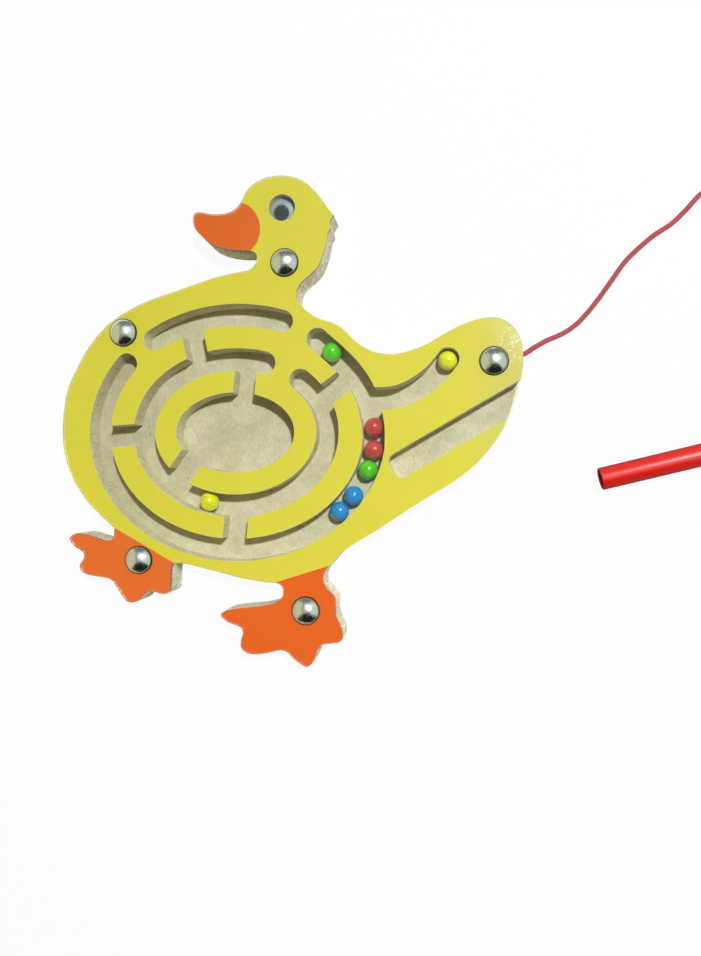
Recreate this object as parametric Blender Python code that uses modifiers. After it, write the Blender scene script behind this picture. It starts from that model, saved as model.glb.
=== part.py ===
"""A magnetic maze board in the shape of a duck, lying on its back, with its wand beside it.

The board is a back board, a maze sheet whose channels are cut right through it, and a clear cover,
held by five pins with domed caps. Eight painted steel balls roll in the channels, a cord ties the
wand to the tail, and a magnet in the wand's end pulls the balls along through the cover.

Metres, +Z out of the printed face, +X from the beak to the tail, +Y from the feet to the head.
The origin is on the underside of the back board, below the centre of the maze.
"""

import math

import bmesh
import bpy
from mathutils import Vector

# The board's layers
BACK_BOARD = 0.0035
COVER = 0.0020
GLUE_LINE = 0.0001

# The maze: a pool in the middle, two oval rings round it, and the walls between them
CHANNEL_WIDTH = 0.0090
POOL_HALF_LENGTH = 0.0246
POOL_HALF_HEIGHT = 0.0163
INNER_WALL = 0.0091
OUTER_WALL_AT_SIDES = 0.0100
OUTER_WALL_AT_TOP = 0.0091
RIM_AT_LEFT = 0.01145
RIM_AT_BOTTOM = 0.00633

# The doors through the walls
LEFT_DOOR = 0.0090
BOTTOM_DOOR = 0.0099
TOP_DOOR = 0.0092
RIGHT_DOOR = 0.0090
POOL_TOP_DOOR = 0.0089
POOL_LOW_DOOR = 0.0106

# The slot that stores the wand
SLOT_CLEARANCE = 0.0007
SLOT_CORNER = 0.0034
SLOT_OVERRUN = 0.0060

# The balls' room in their channels, and the wand
BALL_SIDE_GAP = 0.0005
BALL_HEADROOM = 0.0015
WAND_DIAMETER = 0.0090
WAND_LENGTH = 0.1050
WAND_WALL = 0.0011
MAGNET_LENGTH = 0.0100
MAGNET_RECESS = 0.0016
END_PLUG_DEPTH = 0.0080
END_PLUG_RIM = 0.0012
WAND_ANGLE = math.radians(13.8)

# The pins and their caps
PIN_DIAMETER = 0.0040
PIN_HEAD_DIAMETER = 0.0080
PIN_HEAD_HEIGHT = 0.0012
PIN_REACH = 0.0016
CAP_DIAMETER = 0.0116
CAP_HEIGHT = 0.0036
CAP_BRIM = 0.0006
FIT = 0.0003

# The moving eye
EYE_DIAMETER = 0.0102
EYE_BACK = 0.0006
EYE_WALL = 0.0004
EYE_RIM_HEIGHT = 0.0014
EYE_DOME_RISE = 0.0014
EYE_POCKET_DEPTH = 0.0042
PUPIL_DIAMETER = 0.0064
PUPIL_THICKNESS = 0.0005
PUPIL_REST_ANGLE = math.radians(-126.0)

# The cord
CORD_DIAMETER = 0.0020
CORD_BORE = 0.0026
CORD_BORE_COVER = 0.0012

# How finely round shapes are cut
RING_STEP = math.radians(4.0)
END_STEPS = 8
CHANNEL_LINE_STEPS = 4
DOME_STEPS = 5
OUTLINE_STEPS = 2
ROUND_STEPS = 24
BALL_STEPS = 14
OVERRUN = 0.0010

# Places on the board as shares of its length and height, from the beak side and from the toes
MAZE_CENTRE_SHARES = (0.3875, 0.4776)
BODY_BOTTOM_SHARE = 0.181
EYE_CENTRE_SHARES = (0.4907, 0.9371)
PIN_PLACE_SHARES = {
    "neck": (0.4982, 0.8218),
    "shoulder": (0.1409, 0.6860),
    "tail": (0.9401, 0.6150),
    "left_foot": (0.1761, 0.2139),
    "right_foot": (0.5445, 0.1147),
}
CORD_MOUTH_SHARES = (1.001, 0.630)

# The ends of the ring channels, in degrees round their ovals from the tail side
OUTER_ARC_ENDS = (70.0, 126.5)
OUTER_RING_ENDS = (143.4, 352.0)
INNER_RING_ENDS = (71.2, 404.8)

# The doors: the two ovals each one runs between, how far round each of them in degrees, and its width
DOORS = {
    "left": (("outer", 182.24), ("inner", 180.87), LEFT_DOOR),
    "bottom": (("outer", 269.36), ("inner", 271.70), BOTTOM_DOOR),
    "top": (("outer", 109.00), ("inner", 113.08), TOP_DOOR),
    "right": (("outer", 30.10), ("inner", 25.26), RIGHT_DOOR),
    "pool_top": (("pool", 81.27), ("inner", 82.20), POOL_TOP_DOOR),
    "pool_low": (("inner", 226.70), ("pool", 217.49), POOL_LOW_DOOR),
}
# The outer ring's way past the tail channel to its upper end, and the tail channel's own way
UPPER_CHANNEL_SHARES = (
    (0.6878, 0.4439), (0.6883, 0.4776), (0.6862, 0.4983), (0.6761, 0.5390), (0.6641, 0.5663),
    (0.6472, 0.5918), (0.6266, 0.6153), (0.6029, 0.6371), (0.5803, 0.6562), (0.5682, 0.6668),
)
TAIL_CHANNEL_SHARES = (
    (0.6834, 0.5440), (0.7237, 0.5450), (0.7489, 0.5501), (0.7740, 0.5611),
    (0.7992, 0.5762), (0.8244, 0.5974), (0.8455, 0.6225),
)
SLOT_ENDS_SHARES = ((0.7433, 0.4092), (0.9854, 0.5430))

# The duck's outline. Each run is smooth, and two runs meet in a corner.
OUTLINE_SHARES = (
    # Over the beak, head and back of the head to the tuft
    (
        (0.438, 0.8385), (0.4345, 0.8445), (0.424, 0.8490), (0.400, 0.8505), (0.368, 0.8550),
        (0.335, 0.8670), (0.316, 0.8830), (0.300, 0.8990), (0.296, 0.9150), (0.2985, 0.9275),
        (0.308, 0.9325), (0.330, 0.9280), (0.355, 0.9265), (0.382, 0.9310), (0.400, 0.9450),
        (0.4055, 0.9550), (0.4125, 0.9680), (0.425, 0.9820), (0.450, 0.9950), (0.475, 1.0000),
        (0.500, 1.0000), (0.525, 0.9940), (0.550, 0.9795), (0.575, 0.9535), (0.593, 0.9290),
        (0.6045, 0.9160),
    ),
    ((0.6045, 0.9160), (0.5955, 0.9030)),
    ((0.5955, 0.9030), (0.5975, 0.8890)),
    ((0.5975, 0.8890), (0.592, 0.8810)),
    # Down the neck, along the back and round the tail
    (
        (0.592, 0.8810), (0.589, 0.8660), (0.585, 0.8500), (0.579, 0.8310), (0.570, 0.8130),
        (0.558, 0.8000), (0.541, 0.7870), (0.529, 0.7740), (0.5235, 0.7600), (0.526, 0.7440),
        (0.535, 0.7330), (0.550, 0.7200), (0.568, 0.7090), (0.590, 0.7020), (0.610, 0.6940),
        (0.630, 0.6795), (0.650, 0.6600), (0.675, 0.6440), (0.700, 0.6355), (0.725, 0.6325),
        (0.750, 0.6350), (0.775, 0.6420), (0.800, 0.6510), (0.825, 0.6645), (0.850, 0.6775),
        (0.875, 0.6890), (0.900, 0.6970), (0.930, 0.7020), (0.955, 0.6990), (0.975, 0.6870),
        (0.990, 0.6690), (0.998, 0.6470), (1.000, 0.6200), (0.9985, 0.5950), (0.9930, 0.5700),
        (0.9855, 0.5430), (0.975, 0.5130), (0.960, 0.4810), (0.936, 0.4470), (0.900, 0.4085),
        (0.850, 0.3720), (0.800, 0.3435), (0.750, 0.3130), (0.700, 0.2810), (0.650, 0.2520),
        (0.620, 0.2320), (0.600, 0.2110), (0.5870, 0.1970), (0.5815, 0.1810), (0.5860, 0.1640),
        (0.600, 0.1510), (0.608, 0.1390), (0.6085, 0.1200), (0.6100, 0.1030), (0.6180, 0.0870),
        (0.624, 0.0660), (0.620, 0.0545), (0.606, 0.0495), (0.585, 0.0475), (0.5735, 0.0420),
        (0.566, 0.0240), (0.558, 0.0080), (0.548, 0.0005), (0.536, 0.0040), (0.517, 0.0170),
        (0.503, 0.0295), (0.490, 0.0330), (0.468, 0.0285), (0.443, 0.0240), (0.418, 0.0250),
        (0.405, 0.0330), (0.4025, 0.0500), (0.4070, 0.0650), (0.405, 0.0750), (0.396, 0.0810),
        (0.377, 0.0870), (0.3620, 0.0960), (0.3580, 0.1030), (0.3640, 0.1090), (0.382, 0.1145),
        (0.425, 0.1195), (0.466, 0.1255), (0.484, 0.1325), (0.493, 0.1420), (0.4955, 0.1530),
        (0.4920, 0.1630), (0.480, 0.1695), (0.460, 0.1705), (0.425, 0.1755), (0.400, 0.1795),
        (0.375, 0.1855), (0.350, 0.1915), (0.325, 0.1970), (0.300, 0.2030), (0.268, 0.2080),
        (0.253, 0.2075),
    ),
    # Round the left foot
    (
        (0.253, 0.2075), (0.2485, 0.1990), (0.2470, 0.1780), (0.2460, 0.1570), (0.2420, 0.1470),
        (0.230, 0.1435), (0.213, 0.1470), (0.1975, 0.1510), (0.186, 0.1410), (0.173, 0.1290),
        (0.1600, 0.1245), (0.147, 0.1280), (0.135, 0.1415), (0.121, 0.1620), (0.110, 0.1730),
        (0.094, 0.1765), (0.070, 0.1795), (0.048, 0.1860), (0.0400, 0.1960), (0.0430, 0.2070),
        (0.0505, 0.2180), (0.0475, 0.2290), (0.034, 0.2370), (0.0215, 0.2470), (0.0170, 0.2570),
        (0.0235, 0.2650), (0.040, 0.2685), (0.062, 0.2640), (0.085, 0.2570), (0.103, 0.2530),
        (0.1140, 0.2575), (0.1190, 0.2680), (0.1190, 0.2790),
    ),
    # Up the belly and along the breast to the throat
    (
        (0.1190, 0.2790), (0.100, 0.2960), (0.070, 0.3220), (0.050, 0.3440), (0.026, 0.3800),
        (0.010, 0.4170), (0.0015, 0.4600), (0.0015, 0.5000), (0.005, 0.5350), (0.014, 0.5740),
        (0.030, 0.6070), (0.050, 0.6420), (0.073, 0.6730), (0.100, 0.7005), (0.125, 0.7180),
        (0.150, 0.7320), (0.200, 0.7535), (0.250, 0.7680), (0.300, 0.7830), (0.350, 0.7975),
        (0.400, 0.8065), (0.422, 0.8105), (0.4330, 0.8190), (0.4370, 0.8290), (0.438, 0.8385),
    ),
)

# A spot in each piece of the maze sheet that the channels leave standing
SHEET_PIECE_SPOT_SHARES = {
    "maze_frame": (0.020, 0.500),
    "wall_inner_left": (0.230, 0.450),
    "wall_outer_left": (0.200, 0.370),
    "wall_outer_right": (0.640, 0.450),
}

# The row of balls down the outer ring from the first red one: the gap before each, how far back
# and on its arc reaches, in degrees round the oval, and the colour
ROW_BALLS = {
    "ball_red_2": (0.00125, 4.0, 4.0, "red"),
    "ball_green_2": (0.00046, 4.0, 4.0, "green"),
    "ball_blue_1": (0.00406, 4.0, 4.0, "blue"),
    "ball_blue_2": (0.00063, 30.0, 4.0, "blue"),
}
ROW_STEP = 0.005

# The ball in the inner ring: how far round it in degrees from the tail side, and the same three
INNER_BALLS = {"ball_yellow_1": (-108.5, 20.0, 20.0, "yellow")}

# The balls in the two upper channels: which one, where, how far back and on its arc reaches,
# and the colour
BALL_STEP = 0.0060
BALL_RUN = 0.0160
CHANNEL_BALLS = {
    "ball_green_1": ("upper", (0.5994, 0.6407), BALL_RUN, BALL_STEP, "green"),
    "ball_red_1": ("upper", (0.6882, 0.4887), BALL_STEP, BALL_RUN, "red"),
    "ball_yellow_2": ("tail", (0.8455, 0.6225), BALL_RUN, 0.0, "yellow"),
}

# The wand's tip, beyond the tail, as shares of the board's length and height
WAND_TIP_SHARES = (1.1662, 0.3816)

# The cord's own route in metres, from beside the tail to beside the wand's far end
CORD_ROUTE = (
    (0.1205, 0.0337, 0.0104), (0.1255, 0.0362, 0.0070), (0.1305, 0.0386, 0.0041),
    (0.1350, 0.0412, 0.0022), (0.1396, 0.0450, 0.0014), (0.1452, 0.0515, 0.0012),
    (0.1522, 0.0612, 0.0012), (0.1569, 0.0679, 0.0012), (0.1610, 0.0722, 0.0012),
    (0.1682, 0.0784, 0.0012), (0.1752, 0.0830, 0.0012), (0.1807, 0.0882, 0.0012),
    (0.1867, 0.0946, 0.0012), (0.2050, 0.1070, 0.0012), (0.2280, 0.1120, 0.0012),
    (0.2520, 0.1050, 0.0012), (0.2720, 0.0860, 0.0012), (0.2840, 0.0600, 0.0012),
    (0.2850, 0.0350, 0.0018), (0.2770, 0.0180, 0.0032),
)
CORD_POINT_SPACING = 0.0050


# Sizes worked out from those above
BALL_DIAMETER = CHANNEL_WIDTH - 2 * BALL_SIDE_GAP
MAZE_SHEET = BALL_DIAMETER + BALL_HEADROOM
OUTER_RING_HALVES = (
    POOL_HALF_LENGTH + INNER_WALL + CHANNEL_WIDTH + OUTER_WALL_AT_SIDES + CHANNEL_WIDTH / 2,
    POOL_HALF_HEIGHT + INNER_WALL + CHANNEL_WIDTH + OUTER_WALL_AT_TOP + CHANNEL_WIDTH / 2,
)
INNER_RING_HALVES = (
    POOL_HALF_LENGTH + INNER_WALL + CHANNEL_WIDTH / 2,
    POOL_HALF_HEIGHT + INNER_WALL + CHANNEL_WIDTH / 2,
)
# The third oval lies just inside the pool's edge.
POOL_RING_HALVES = (POOL_HALF_LENGTH - CHANNEL_WIDTH / 2, POOL_HALF_HEIGHT - CHANNEL_WIDTH / 2)
RING_HALVES = {"outer": OUTER_RING_HALVES, "inner": INNER_RING_HALVES, "pool": POOL_RING_HALVES}
BODY_BOTTOM_REACH_SHARE = MAZE_CENTRE_SHARES[1] - BODY_BOTTOM_SHARE
BOARD_LENGTH = (OUTER_RING_HALVES[0] + CHANNEL_WIDTH / 2 + RIM_AT_LEFT) / MAZE_CENTRE_SHARES[0]
BOARD_HEIGHT = (OUTER_RING_HALVES[1] + CHANNEL_WIDTH / 2 + RIM_AT_BOTTOM) / BODY_BOTTOM_REACH_SHARE
SHEET_BOTTOM = BACK_BOARD + GLUE_LINE
SHEET_TOP = SHEET_BOTTOM + MAZE_SHEET
COVER_BOTTOM = SHEET_TOP + GLUE_LINE
COVER_TOP = COVER_BOTTOM + COVER
BALL_RADIUS = BALL_DIAMETER / 2
WAND_RADIUS = WAND_DIAMETER / 2
CORD_RADIUS = CORD_DIAMETER / 2
CORD_BORE_HEIGHT = SHEET_TOP - CORD_BORE_COVER - CORD_BORE / 2


def linear(value):
    """A screen colour channel as a linear one."""
    return value / 12.92 if value <= 0.04045 else ((value + 0.055) / 1.055) ** 2.4


def material(name, screen_colour, roughness, metallic=0.0, alpha=1.0):
    made = bpy.data.materials.new(name)
    made.use_nodes = True
    shader = made.node_tree.nodes["Principled BSDF"]
    channels = [linear(int(screen_colour[i:i + 2], 16) / 255) for i in (0, 2, 4)]
    shader.inputs["Base Color"].default_value = (*channels, 1.0)
    shader.inputs["Roughness"].default_value = roughness
    shader.inputs["Metallic"].default_value = metallic
    shader.inputs["Alpha"].default_value = alpha
    return made


def at_shares(place):
    """A place on the board, given as shares of its length and height, as a flat vector."""
    across = (place[0] - MAZE_CENTRE_SHARES[0]) * BOARD_LENGTH
    along = (place[1] - MAZE_CENTRE_SHARES[1]) * BOARD_HEIGHT
    return Vector((across, along, 0.0))


def on_ring(ring, degrees):
    """A place on a ring channel's middle line."""
    half_length, half_height = RING_HALVES[ring]
    angle = math.radians(degrees)
    return Vector((half_length * math.cos(angle), half_height * math.sin(angle), 0.0))


def ring_line(ring, ends):
    """The middle line of a stretch of a ring channel."""
    count = math.ceil(math.radians(ends[1] - ends[0]) / RING_STEP)
    return [on_ring(ring, ends[0] + (ends[1] - ends[0]) * i / count) for i in range(count + 1)]


def smooth_line(points, spacing):
    """Points a spacing apart along a smooth curve through the given points."""
    spans = [(b - a).length for a, b in zip(points, points[1:])]
    slopes = []
    for i in range(len(points)):
        low, high = max(i - 1, 0), min(i + 1, len(points) - 1)
        slopes.append((points[high] - points[low]) / sum(spans[low:high]))
    line = []
    for i, span in enumerate(spans):
        count = max(1, round(span / spacing))
        for step in range(count):
            t = step / count
            line.append(
                points[i] * (1 + 2 * t) * (1 - t) ** 2
                + slopes[i] * span * t * (1 - t) ** 2
                + points[i + 1] * t * t * (3 - 2 * t)
                + slopes[i + 1] * span * t * t * (t - 1)
            )
    return line + [points[-1]]


def channel_line(channel):
    """The middle line of one of the two upper channels."""
    shares = {"upper": UPPER_CHANNEL_SHARES, "tail": TAIL_CHANNEL_SHARES}[channel]
    return smooth_line([at_shares(place) for place in shares], CHANNEL_WIDTH / CHANNEL_LINE_STEPS)


def circle_centre(a, b, c):
    """The centre of the flat circle through three places."""
    p, q = b - a, c - a
    turn = 2 * (p.x * q.y - p.y * q.x)
    across = (q.y * p.length_squared - p.y * q.length_squared) / turn
    along = (p.x * q.length_squared - q.x * p.length_squared) / turn
    return a + Vector((across, along, 0.0))


def band_outline(line, width, corner):
    """The outline of a channel along a line. Each end runs on past the line by the corner's radius."""
    side = Vector((0.0, 0.0, 1.0))
    ways = [(line[min(i + 1, len(line) - 1)] - line[max(i - 1, 0)]).normalized() for i in range(len(line))]
    left = [point + side.cross(way) * width / 2 for point, way in zip(line, ways)]
    right = [point - side.cross(way) * width / 2 for point, way in zip(line, ways)]

    def cap(end, way):
        """The rounded end, from the way's right side to its left."""
        out = side.cross(way)
        turned = []
        for which in (-1, 1):
            middle = end + out * which * (width / 2 - corner)
            for step in range(END_STEPS + 1):
                turn = math.pi / 2 * step / END_STEPS
                along, across = (math.sin(turn), math.cos(turn)) if which < 0 else (math.cos(turn), math.sin(turn))
                turned.append(middle + way * corner * along + out * which * corner * across)
        return turned

    if not corner:
        return right + left[::-1]
    outline = right[:-1] + cap(line[-1], ways[-1]) + left[-2:0:-1] + cap(line[0], -ways[0])
    return [point for i, point in enumerate(outline) if (point - outline[i - 1]).length > FIT / 10]


def new_object(name, data, collection):
    made = bpy.data.objects.new(name, data)
    collection.objects.link(made)
    return made


def as_mesh(source, name, collection):
    """A mesh object in place of an evaluated one, with its seams welded."""
    bpy.context.view_layer.update()
    graph = bpy.context.evaluated_depsgraph_get()
    mesh = bpy.data.meshes.new_from_object(source.evaluated_get(graph))
    mesh.name = name
    work = bmesh.new()
    work.from_mesh(mesh)
    bmesh.ops.remove_doubles(work, verts=work.verts, dist=GLUE_LINE / 100)
    bmesh.ops.recalc_face_normals(work, faces=work.faces)
    work.to_mesh(mesh)
    work.free()
    place = source.matrix_world.copy()
    bpy.data.objects.remove(source)
    made = new_object(name, mesh, collection)
    made.matrix_world = place
    return made


def flat_solid(name, points, corners, bottom, top, collection):
    """A flat outline between two heights. The outline is smooth except at its corners."""
    curve = bpy.data.curves.new(name, "CURVE")
    curve.dimensions = "2D"
    curve.fill_mode = "BOTH"
    curve.extrude = (top - bottom) / 2
    curve.resolution_u = OUTLINE_STEPS
    spline = curve.splines.new("BEZIER")
    spline.bezier_points.add(len(points) - 1)
    spline.use_cyclic_u = True
    for knot, point, corner in zip(spline.bezier_points, points, corners):
        knot.co = point
        knot.handle_left_type = knot.handle_right_type = "VECTOR" if corner else "AUTO"
    source = new_object(name, curve, collection)
    source.location.z = (top + bottom) / 2
    return as_mesh(source, name, collection)


def cutter(made):
    made.hide_render = True
    made.display_type = "WIRE"
    return made


def channel_cutter(name, outline, collection):
    """A cutter that takes a channel right through the maze sheet."""
    curve = bpy.data.curves.new(name, "CURVE")
    curve.dimensions = "2D"
    curve.fill_mode = "BOTH"
    curve.extrude = MAZE_SHEET / 2 + OVERRUN
    spline = curve.splines.new("POLY")
    spline.points.add(len(outline) - 1)
    spline.use_cyclic_u = True
    for knot, point in zip(spline.points, outline):
        knot.co = (*point, 1.0)
    source = new_object(name, curve, collection)
    source.location.z = (SHEET_BOTTOM + SHEET_TOP) / 2
    return cutter(as_mesh(source, name, collection))


def turned(name, profile, collection, steps=ROUND_STEPS):
    """A turned shape. Its profile of radii and heights runs down its outer side."""
    mesh = bpy.data.meshes.new(name)
    edges = [(i, i + 1) for i in range(len(profile) - 1)]
    mesh.from_pydata([(radius, 0.0, height) for radius, height in profile], edges, [])
    made = new_object(name, mesh, collection)
    screw = made.modifiers.new("turn", "SCREW")
    screw.steps = screw.render_steps = steps
    screw.use_merge_vertices = True
    screw.merge_threshold = GLUE_LINE / 10
    screw.use_smooth_shade = True
    return made


def cut_by(piece, cutters):
    for tool in cutters:
        cut = piece.modifiers.new(tool.name, "BOOLEAN")
        cut.object = tool
        cut.solver = "EXACT"


def dome_profile(radius, foot, rise, steps):
    """The outer side of a dome, from its top down to its foot."""
    sphere = (radius ** 2 + rise ** 2) / (2 * rise)
    reach = math.asin(radius / sphere)
    middle = foot + rise - sphere
    arc = [reach * i / steps for i in range(steps + 1)]
    return [(sphere * math.sin(a), middle + sphere * math.cos(a)) for a in arc]


def duck_outline():
    """The outline's points, and which of them are corners."""
    points, corners = [], []
    for run in OUTLINE_SHARES:
        points += [at_shares(place) for place in run[:-1]]
        corners += [i == 0 for i in range(len(run) - 1)]
    return points, corners


def pin_hole(name, place, collection):
    """A cutter for a pin with its head, right through the board."""
    head = PIN_HEAD_DIAMETER / 2 + FIT
    shank = PIN_DIAMETER / 2 + FIT
    top = COVER_TOP + OVERRUN
    shoulder = PIN_HEAD_HEIGHT + FIT
    hole = turned(
        name,
        [(0.0, top), (shank, top), (shank, shoulder), (head, shoulder), (head, -OVERRUN), (0.0, -OVERRUN)],
        collection,
    )
    hole.location = at_shares(place)
    return cutter(as_mesh(hole, name, collection))


def maze_cutters(collection):
    """Every cutter that goes through the maze sheet."""
    rounded = CHANNEL_WIDTH / 2
    lines = {
        "outer_arc": (ring_line("outer", OUTER_ARC_ENDS), CHANNEL_WIDTH, rounded),
        "outer_ring": (ring_line("outer", OUTER_RING_ENDS), CHANNEL_WIDTH, rounded),
        "inner_ring": (ring_line("inner", INNER_RING_ENDS), CHANNEL_WIDTH, rounded),
        "upper_channel": (channel_line("upper"), CHANNEL_WIDTH, rounded),
        "tail_channel": (channel_line("tail"), CHANNEL_WIDTH, rounded),
    }
    for name, (start, end, width) in DOORS.items():
        lines[name + "_door"] = ([on_ring(*start), on_ring(*end)], width, 0.0)
    start, end = (at_shares(place) for place in SLOT_ENDS_SHARES)
    end += (end - start).normalized() * SLOT_OVERRUN
    lines["wand_slot"] = ([start, end], WAND_DIAMETER + 2 * SLOT_CLEARANCE, SLOT_CORNER)
    made = [
        channel_cutter("cut_" + name, band_outline(line, width, corner), collection)
        for name, (line, width, corner) in lines.items()
    ]
    around = [i * RING_STEP for i in range(round(2 * math.pi / RING_STEP))]
    pool = [Vector((POOL_HALF_LENGTH * math.cos(a), POOL_HALF_HEIGHT * math.sin(a), 0.0)) for a in around]
    made.append(channel_cutter("cut_pool", pool, collection))
    return made


def eye_pocket(collection):
    radius = EYE_DIAMETER / 2 + FIT
    bottom = SHEET_TOP - EYE_POCKET_DEPTH
    top = SHEET_TOP + OVERRUN
    pocket = turned("cut_eye_pocket", [(0.0, top), (radius, top), (radius, bottom), (0.0, bottom)], collection)
    pocket.location = at_shares(EYE_CENTRE_SHARES)
    return cutter(as_mesh(pocket, "cut_eye_pocket", collection))


def cord_way():
    """The bore's inner end at the tail pin, its mouth, and the way from one to the other."""
    level = Vector((0.0, 0.0, CORD_BORE_HEIGHT))
    pin, mouth = at_shares(PIN_PLACE_SHARES["tail"]) + level, at_shares(CORD_MOUTH_SHARES) + level
    way = (mouth - pin).normalized()
    return pin, mouth, way


def cord_bore(collection):
    """A cutter that bores the maze sheet's edge for the cord, below the printed face."""
    inner, mouth, way = cord_way()
    outer = mouth + way * (CHANNEL_WIDTH / 2)
    mesh = bpy.data.meshes.new("cut_cord_bore")
    work = bmesh.new()
    bmesh.ops.create_cone(
        work, cap_ends=True, segments=ROUND_STEPS, radius1=CORD_BORE / 2, radius2=CORD_BORE / 2,
        depth=(outer - inner).length,
    )
    work.to_mesh(mesh)
    work.free()
    bore = new_object("cut_cord_bore", mesh, collection)
    bore.location = (inner + outer) / 2
    bore.rotation_euler = (0.0, math.pi / 2, math.atan2(way.y, way.x))
    return cutter(bore)


def loose_meshes(mesh):
    """One mesh for each loose body of a mesh."""
    work = bmesh.new()
    work.from_mesh(mesh)
    left = set(work.verts)
    bodies = []
    while left:
        body, edge = set(), [next(iter(left))]
        while edge:
            vert = edge.pop()
            if vert in body:
                continue
            body.add(vert)
            edge += [link.other_vert(vert) for link in vert.link_edges]
        left -= body
        bodies.append({vert.index for vert in body})
    work.free()
    made = []
    for body in bodies:
        part = bmesh.new()
        part.from_mesh(mesh)
        part.verts.ensure_lookup_table()
        others = [vert for vert in part.verts if vert.index not in body]
        bmesh.ops.delete(part, geom=others, context="VERTS")
        alone = bpy.data.meshes.new(mesh.name)
        part.to_mesh(alone)
        part.free()
        made.append(alone)
    return made


def build_maze_sheet(pin_holes, printed, parts, cutters):
    """The maze sheet, cut through by its channels into a frame and three loose walls."""
    points, corners = duck_outline()
    blank = flat_solid("maze_sheet", points, corners, SHEET_BOTTOM, SHEET_TOP, cutters)
    tools = maze_cutters(cutters) + [eye_pocket(cutters), cord_bore(cutters)]
    cut_by(blank, tools + pin_holes)
    sheet = as_mesh(blank, "maze_sheet", cutters)
    lift = sheet.location.copy()
    for mesh in loose_meshes(sheet.data):
        def distance(name):
            spot = at_shares(SHEET_PIECE_SPOT_SHARES[name])
            return min((vert.co.xy - spot.xy).length for vert in mesh.vertices)
        name = min(SHEET_PIECE_SPOT_SHARES, key=distance)
        mesh.name = name
        piece = new_object(name, mesh, parts)
        piece.location = lift
        mesh.materials.clear()
        mesh.materials.append(printed)
    for helper in [sheet] + tools:
        bpy.data.objects.remove(helper)


def build_plates(pin_holes, board, clear, parts):
    """The back board and the clear cover."""
    points, corners = duck_outline()
    for name, bottom, top, finish in (
        ("back_board", 0.0, BACK_BOARD, board),
        ("clear_cover", COVER_BOTTOM, COVER_TOP, clear),
    ):
        plate = flat_solid(name, points, corners, bottom, top, parts)
        cut_by(plate, pin_holes)
        plate.data.materials.append(finish)


def build_pins(steel, chrome, parts):
    """The pins, with flat heads let into the back board, and the domed caps on their ends."""
    shank, head, cap = PIN_DIAMETER / 2, PIN_HEAD_DIAMETER / 2, CAP_DIAMETER / 2
    top = COVER_TOP + PIN_REACH
    seat = COVER_TOP + GLUE_LINE
    bore = shank + FIT
    for name, place in PIN_PLACE_SHARES.items():
        pin = turned(
            "pin_" + name,
            [(0.0, top), (shank, top), (shank, PIN_HEAD_HEIGHT), (head, PIN_HEAD_HEIGHT), (head, GLUE_LINE), (0.0, GLUE_LINE)],
            parts,
        )
        pin.location = at_shares(place)
        pin.data.materials.append(steel)
        dome = dome_profile(cap, seat + CAP_BRIM, CAP_HEIGHT - CAP_BRIM, DOME_STEPS)
        cover = turned(
            "cap_" + name,
            dome + [(cap, seat), (bore, seat), (bore, top + FIT), (0.0, top + FIT)],
            parts,
        )
        cover.location = at_shares(place)
        cover.data.materials.append(chrome)


def joint_empty(name, place, parts):
    holder = new_object(name, None, parts)
    holder.location = place
    holder.empty_display_size = CHANNEL_WIDTH
    return holder


def build_eye(white, black, clear, parts):
    """The moving eye: a white back, a loose pupil and a clear dome, in a pocket of the maze sheet."""
    radius = EYE_DIAMETER / 2
    inside = radius - EYE_WALL
    floor = SHEET_TOP - EYE_POCKET_DEPTH + GLUE_LINE
    seat = floor + EYE_BACK + GLUE_LINE
    place = at_shares(EYE_CENTRE_SHARES)
    back = turned("eye_back", [(0.0, seat - GLUE_LINE), (radius, seat - GLUE_LINE), (radius, floor), (0.0, floor)], parts)
    back.location = place
    back.data.materials.append(white)
    outer = dome_profile(radius, seat + EYE_RIM_HEIGHT, EYE_DOME_RISE, DOME_STEPS)
    inner = dome_profile(inside, seat + EYE_RIM_HEIGHT, EYE_DOME_RISE - EYE_WALL, DOME_STEPS)
    dome = turned("eye_dome", outer + [(radius, seat), (inside, seat)] + inner[::-1], parts)
    dome.location = place
    dome.data.materials.append(clear)
    holder = joint_empty("eye_axis", place + Vector((0.0, 0.0, seat)), parts)
    pupil_radius = PUPIL_DIAMETER / 2
    pupil = turned(
        "eye_pupil",
        [(0.0, PUPIL_THICKNESS), (pupil_radius, PUPIL_THICKNESS), (pupil_radius, 0.0), (0.0, 0.0)],
        parts,
    )
    orbit = inside - pupil_radius - FIT
    pupil.location = (orbit * math.cos(PUPIL_REST_ANGLE), orbit * math.sin(PUPIL_REST_ANGLE), GLUE_LINE)
    pupil.parent = holder
    pupil.data.materials.append(black)


def ball_mesh():
    mesh = bpy.data.meshes.new("ball")
    work = bmesh.new()
    bmesh.ops.create_uvsphere(work, u_segments=BALL_STEPS, v_segments=BALL_STEPS - 4, radius=BALL_RADIUS)
    work.to_mesh(mesh)
    work.free()
    mesh.shade_smooth()
    return mesh


def add_ball(name, place, centre, paint, parts):
    """A ball on the channel floor, turning about the centre of its stretch of channel."""
    height = Vector((0.0, 0.0, SHEET_BOTTOM + BALL_RADIUS))
    holder = joint_empty(name + "_axis", centre + height, parts)
    ball = new_object(name, ball_mesh(), parts)
    ball.location = place - centre
    ball.parent = holder
    ball.data.materials.append(paint)


def nearest(line, place, distance):
    """The point of a line whose distance from a place is nearest to the one asked for."""
    return min(line, key=lambda point: abs((point - place).length - distance))


def add_ring_ball(name, ring, degrees, back, on, paint, parts):
    place = on_ring(ring, degrees)
    centre = circle_centre(on_ring(ring, degrees - back), place, on_ring(ring, degrees + on))
    add_ball(name, place, centre, paint, parts)


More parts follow.
